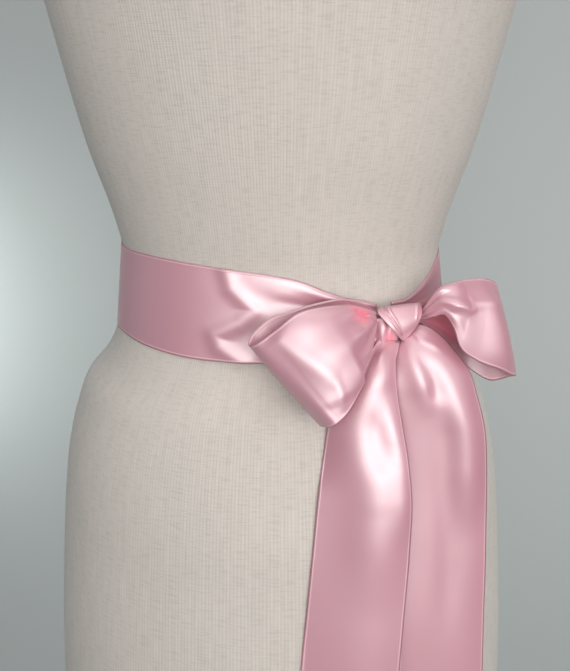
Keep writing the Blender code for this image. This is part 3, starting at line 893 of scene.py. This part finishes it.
@dataclass
class DressForm:
    """The limbless form: an oval loft under a knit cover."""

    rows: tuple[Girth, ...] = FORM_ROWS
    level_step: float = 4.0
    around: int = 192
    flat_radius: float = 96.0
    cap_rings: tuple[float, ...] = (0.0005, 0.4, 0.8, 0.97)
    table: np.ndarray = field(init=False)

    def __post_init__(self) -> None:
        """Keeps the rows as an array."""
        self.table = np.array(self.rows, float)

    def girth(self, height: np.ndarray) -> tuple[np.ndarray, np.ndarray]:
        """Half width and half depth at heights over the waist.

        Args:
            height: an array of heights of any shape.

        Returns:
            Two arrays of that shape.
        """
        inside = np.clip(height, self.table[0, 0], self.table[-1, 0])
        sizes = eased(self.table[:, 0], self.table[:, 1:], inside.ravel())
        return sizes[:, 0].reshape(height.shape), sizes[:, 1].reshape(height.shape)

    def push_clear(self, points: np.ndarray, gap: float) -> np.ndarray:
        """Moves what lies inside the form, or too near it, straight out to the gap.

        A point's reach is the root of (x / half width)² + (y / half depth)², each with the gap
        added, and x and y are divided by it where it is under 1.

        Args:
            points: an array whose last axis is x y z.
            gap: the clearance.

        Returns:
            The moved points.
        """
        half_width, half_depth = self.girth(points[..., 2])
        x, y = points[..., 0], points[..., 1]
        reach = np.sqrt((x / (half_width + gap)) ** 2 + (y / (half_depth + gap)) ** 2)
        push = np.where(points[..., 2] > self.table[1, 0], 1 / np.minimum(reach, 1), 1)
        return points * np.stack([push, push, np.ones_like(push)], axis=-1)

    def surface(self) -> Surface:
        """Ovals at even levels, with the two ends closed by flat rings that shrink to nothing.

        x is the half width times the sine of the angle, and y is minus the half depth times its
        cosine.

        Returns:
            The closed grid, its flat map being the angle times one radius, and the height.
        """
        ends = self.table[[0, -1], 0]
        count = round((ends[1] - ends[0]) / self.level_step)
        levels = np.linspace(ends[0], ends[1], count + 1)
        wide, deep = self.girth(levels)
        caps = np.array(self.cap_rings)
        flat_ends = [np.full(len(caps), end) for end in ends]
        heights = np.concatenate([flat_ends[0], levels, flat_ends[1]])
        wide = np.concatenate([caps * wide[0], wide, caps[::-1] * wide[-1]])
        deep = np.concatenate([caps * deep[0], deep, caps[::-1] * deep[-1]])
        turn = np.linspace(0, 2 * math.pi, self.around + 1)
        x = wide[:, None] * np.sin(turn[None, :-1])
        y = -deep[:, None] * np.cos(turn[None, :-1])
        z = np.broadcast_to(heights[:, None], x.shape)
        flat = np.stack(np.meshgrid(turn * self.flat_radius, heights, indexing="xy"), axis=2)
        return Surface(np.stack([x, y, z], axis=2), flat, closed=True)

    def build(self, finish: JerseyFinish) -> bpy.types.Object:
        """Makes the knit cover that stands for the solid.

        Args:
            finish: the knit.

        Returns:
            The cover.
        """
        mesh = self.surface().mesh("torso_cover")
        mesh.materials.append(finish.material())
        cover = new_object("torso_cover", mesh)
        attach(cover, "root")
        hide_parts("torso")
        LOG.info("torso_cover: %d faces", len(mesh.polygons))
        return cover


@dataclass
class Strip:
    """One stretch of the ribbon that shows, between its rows of sections.

    Shown gives the places across the ribbon where the stretch's two edges lie: the knot's turns are
    folded, so that only a part of the width shows. Span carries a turn past its table's two edges,
    under its neighbours.
    """

    node: str
    rows: tuple[Section, ...] | tuple[Stretch, ...]
    folds: tuple[Fold, ...]
    held: Held
    rests_on: tuple[str, ...]
    steps: int = 160
    across: int = 56
    waves: float = 2.5
    shown: tuple[float, float] = (0.0, RIBBON_WIDTH)
    span: tuple[float, float] = (0.0, 1.0)

    def fold_heights(self, run: np.ndarray, row_at: np.ndarray, across: np.ndarray) -> np.ndarray:
        """Sum of the folds: height times exp(-(distance from the fold's line / its width)²).

        Distances are measured on the flat cloth. Where a fold fades, its height follows a half
        cosine over the first and last share of its line.

        Args:
            run: distance along the cloth of each row of points.
            row_at: row of the table that each row of points stands at.
            across: share of the width of each column.

        Returns:
            One height for each point.
        """
        total = np.zeros((len(run), len(across)))
        here = np.stack(np.meshgrid(run, across * RIBBON_WIDTH, indexing="ij"), axis=2)
        for fold in self.folds:
            places = np.array(fold.places, float)
            along = np.interp(places[:, 0], row_at, run)
            line = np.stack([along, places[:, 1] * RIBBON_WIDTH], axis=1)
            gone = travelled(line)
            nearest = np.full(total.shape, np.inf)
            share = np.zeros(total.shape)
            for start, end, first, last in zip(line, line[1:], gone, gone[1:]):
                way = end - start
                part = np.clip((here - start) @ way / (way @ way), 0, 1)
                away = np.linalg.norm(here - start - part[..., None] * way, axis=2)
                closer = away < nearest
                nearest = np.where(closer, away, nearest)
                share = np.where(closer, (first + part * (last - first)) / gone[-1], share)
            ends = np.minimum(share, 1 - share)
            strength = np.ones_like(ends)
            if fold.fade:
                strength = 0.5 - 0.5 * np.cos(math.pi * np.clip(ends / fold.fade, 0, 1))
            total += fold.height * strength * np.exp(-((nearest / fold.width) ** 2))
        return total

    def flat_map(self, run: np.ndarray, share: np.ndarray) -> np.ndarray:
        """Place of each point on the flat ribbon: distance along it, then across it."""
        across = np.interp(share, self.span, self.shown)
        return np.stack(np.meshgrid(run, across, indexing="ij"), axis=2)

    def surface(self, form: DressForm) -> Surface:
        """The stretch as a grid.

        Each row is straight between its two selvages, then raised along the surface's outward
        normal by crown times 4v(1 - v), gather times the sine of 2 pi times the waves times v, and
        the folds, with v the share of the width.

        Args:
            form: the form that the ribbon stays clear of.

        Returns:
            The grid.
        """
        rows = np.array(self.rows, float)
        places = travelled((rows[:, FIRST_SELVAGE] + rows[:, SECOND_SELVAGE]) / 2)
        run = np.linspace(0, places[-1], self.steps + 1)
        smooth = eased(places, rows, run)
        share = np.linspace(*self.span, self.across + 1)
        first, second = smooth[:, None, FIRST_SELVAGE], smooth[:, None, SECOND_SELVAGE]
        base = first + share[None, :, None] * (second - first)
        crown = smooth[:, CROWN] * 4 * share * (1 - share)
        gather = smooth[:, GATHER] * np.sin(2 * math.pi * self.waves * share)
        row_at = np.interp(run, places, np.arange(len(rows)))
        raised = crown + gather + self.fold_heights(run, row_at, share)
        points = form.push_clear(base + raised[..., None] * outward(base), REST_GAP)
        return Surface(points, self.flat_map(run, share))

    def build(self, form: DressForm, satin: bpy.types.Material) -> bpy.types.Object:
        """Makes the shell, thin as satin is, that stands for the stretch's solid.

        Args:
            form: the form that the ribbon stays clear of.
            satin: its material.

        Returns:
            The shell.
        """
        surface = self.surface(form)
        name = f"{self.node}_satin"
        mesh = surface.mesh(name)
        mesh.materials.append(satin)
        shell = new_object(name, mesh)
        wall = shell.modifiers.new("Wall", "SOLIDIFY")
        wall.thickness = SATIN_WALL * MM
        wall.offset = 0
        wall.use_even_offset = True
        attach(shell, "root")
        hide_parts(self.node)
        return shell


@dataclass
class WaistBand(Strip):
    """The stretch that goes once round the waist."""

    def surface(self, form: DressForm) -> Surface:
        """The band as a grid.

        Each selvage lies on the form's oval at its own height, out by the snug gap and its lift:
        x is (half width + out) times the sine of the angle, y is minus (half depth + out) times its
        cosine. Between them each row is straight, then raised as a strip is.

        Args:
            form: the form that the band goes round.

        Returns:
            The grid.
        """
        rows = np.array(self.rows, float)
        angles = np.radians(rows[:, 0])
        turn = np.linspace(angles[0], angles[-1], self.steps + 1)
        top, low, lift, depth = eased(angles, rows[:, 1:], turn).T
        out = SNUG_GAP + lift - REST_LIFT
        edges = []
        for height in (top, low):
            wide, deep = form.girth(height)
            x, y = (wide + out) * np.sin(turn), -(deep + out) * np.cos(turn)
            edges.append(np.stack([x, y, height], axis=1))
        share = np.linspace(0, 1, self.across + 1)
        base = edges[0][:, None] + share[None, :, None] * (edges[1] - edges[0])[:, None]
        gather = depth[:, None] * np.sin(2 * math.pi * self.waves * share)
        run = travelled(base[:, self.across // 2])
        row_at = np.interp(turn, angles, np.arange(len(rows)))
        raised = gather + self.fold_heights(run, row_at, share)
        points = form.push_clear(base + raised[..., None] * outward(base), SNUG_GAP)
        return Surface(points, self.flat_map(run, share))


@dataclass
class Sash:
    """The whole ribbon: band, bow, knot and tails."""

    form: DressForm
    strips: list[Strip] = field(default_factory=list)

    def __post_init__(self) -> None:
        """Lists the stretches in the order in which the ribbon is tied."""
        self.strips = [
            WaistBand("waist_band", BAND_ROWS, BAND_FOLDS, Held.STRETCHED,
                      ("torso_cover",), steps=420),
            Strip("loop_left", LOOP_LEFT_ROWS, LOOP_LEFT_FOLDS, Held.FOLDED,
                  ("waist_band_satin",), steps=240),
            Strip("loop_right", LOOP_RIGHT_ROWS, LOOP_RIGHT_FOLDS, Held.FOLDED,
                  ("knot_wrap_satin",), steps=240),
            Strip("tail_left", TAIL_LEFT_ROWS, TAIL_LEFT_FOLDS, Held.HUNG,
                  ("knot_cross_satin",), steps=420, waves=1.0),
            Strip("tail_right", TAIL_RIGHT_ROWS, TAIL_RIGHT_FOLDS, Held.HUNG,
                  ("knot_wrap_satin",), steps=420, waves=1.0),
            Strip("knot_wrap", KNOT_WRAP_ROWS, KNOT_WRAP_FOLDS, Held.GATHERED,
                  ("waist_band_satin",), steps=80, waves=0.0, shown=(16.0, 40.0)),
            Strip("knot_cross", KNOT_CROSS_ROWS, (), Held.GATHERED,
                  ("knot_wrap_satin",), steps=60, waves=1.5, span=(-0.05, 1.3), shown=(39.5, 57.0)),
        ]

    def build(self, finish: SatinFinish) -> None:
        """Makes every stretch in one satin.

        Args:
            finish: the satin.
        """
        satin = finish.material()
        for strip in self.strips:
            strip.build(self.form, satin)


@dataclass
class Stand:
    """Base, hub and pole: the solids' own shapes under a better finish."""

    nodes: tuple[str, ...] = ("base", "hub", "pole")

    def dress(self, frame: dict, finish: PaintFinish) -> None:
        """Paints the solids.

        Args:
            finish: the paint.
        """
        paint = finish.material()
        for node in self.nodes:
            for place in frame["nodes"][node].material_slots:
                place.material = paint
            LOG.info("%s: painted", node)


@dataclass
class Lamp:
    """A soft oblong light that looks at a point."""

    name: str
    place: tuple[float, float, float]
    target: tuple[float, float, float]
    size: tuple[float, float]
    power: float
    colour: Colour = (1.0, 1.0, 1.0)
    spread: float = 180.0

    def build(self) -> None:
        """Hangs the light."""
        light = bpy.data.lights.new(self.name, "AREA")
        light.shape = "RECTANGLE"
        light.size, light.size_y = self.size
        light.energy = self.power
        light.color = self.colour
        light.spread = math.radians(self.spread)
        holder = new_object(self.name, light)
        holder.location = self.place
        holder.visible_camera = False
        aim = Vector(self.target) - Vector(self.place)
        holder.rotation_euler = aim.to_track_quat("-Z", "Y").to_euler()


@dataclass
class Studio:
    """Pale sweep, soft lights and the camera of the photograph."""

    half_width: float = 6.0
    front: float = -6.0
    wall: float = 0.75
    bend: float = 0.12
    bend_rows: int = 24
    height: float = 3.2
    camera_place: tuple[float, float, float] = (0.0027, -0.5369, 1.1560)
    camera_pitch: float = 16.5
    lens: float = 44.0
    sensor: float = 36.0
    room_light: float = 0.13
    room_colour: Colour = (0.74, 0.94, 1.0)
    lamps: tuple[Lamp, ...] = (
        Lamp("key", (0.28, -1.50, 1.38), (0.03, 0, 1.03), (2.4, 1.0),
             13.0, (1.0, 0.965, 0.945), 100.0),
        Lamp("side_fill", (1.5, -0.3, 1.2), (0.4, 0.6, 0.35), (1.0, 1.0),
             1.7, (0.97, 1.0, 1.0), 80.0),
        Lamp("back_fill", (0.0, 0.66, 1.75), (0, 0.08, 0.95), (1.2, 0.15),
             1.6, (0.88, 1.0, 1.0), 120.0),
        Lamp("overhead", (0.1, -0.35, 2.3), (0.05, -0.05, 1.0), (1.6, 1.2),
             4.2, (1.0, 0.99, 0.98), 120.0),
        Lamp("left_fill", (-1.5, 0.1, 1.05), (0, 0, 1.0), (0.8, 0.8), 0.7, (0.62, 0.95, 1.0)),
        Lamp("wall_glow", (-0.72, 0.54, 0.85), (-0.52, 0.75, 0.8), (0.12, 0.4),
             0.68, (0.92, 1.0, 0.99), 110.0),
    )

    def sweep(self) -> bpy.types.Object:
        """Floor, quarter-round bend and wall in one strip, carried sideways.

        On the bend, y is the bend's start plus its radius times the sine of the turn, and z is the
        radius times (1 - the cosine).

        Returns:
            The sweep.
        """
        turn = np.linspace(0, math.pi / 2, self.bend_rows)
        curve = self.wall - self.bend + self.bend * np.sin(turn)
        y = np.concatenate([[self.front], curve, [self.wall]])
        z = np.concatenate([[0], self.bend * (1 - np.cos(turn)), [self.height]])
        x = np.array([self.half_width, -self.half_width])
        points = np.stack(np.broadcast_arrays(x, y[:, None], z[:, None]), axis=2)
        rows = np.arange(len(y) - 1)[:, None] * 2
        quads = rows + np.array([1, 0, 2, 3])
        mesh = bpy.data.meshes.new("sweep")
        mesh.from_pydata(points.reshape(-1, 3).tolist(), [], quads.tolist())
        mesh.materials.append(BackdropFinish().material())
        mesh.shade_smooth()
        sweep = new_object("sweep", mesh)
        return sweep

    def build(self) -> None:
        """Sets up the sweep, the lights, the room's own light and the camera."""
        self.sweep()
        for lamp in self.lamps:
            lamp.build()
        world = bpy.data.worlds.new("room")
        world.use_nodes = True
        room = world.node_tree.nodes["Background"]
        room.inputs["Color"].default_value = rgba(self.room_colour)
        room.inputs["Strength"].default_value = self.room_light
        scene = bpy.context.scene
        scene.world = world
        scene.view_settings.view_transform = "Standard"
        lens = bpy.data.cameras.new("photo_camera")
        lens.sensor_fit = "AUTO"
        lens.sensor_width = self.sensor
        lens.lens = self.lens
        camera = new_object("photo_camera", lens)
        camera.location = self.camera_place
        camera.rotation_euler = (math.radians(90 - self.camera_pitch), 0, 0)
        scene.camera = camera
        LOG.info("studio: %d lights", len(self.lamps))


def main() -> None:
    """Loads the frame and builds the looks round it."""
    logging.basicConfig(level=logging.INFO, format="%(name)s: %(message)s")
    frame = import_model()
    form = DressForm()
    form.build(JerseyFinish())
    Sash(form).build(SatinFinish())
    Stand().dress(frame, PaintFinish())
    Studio().build()


if __name__ == "__main__":
    main()
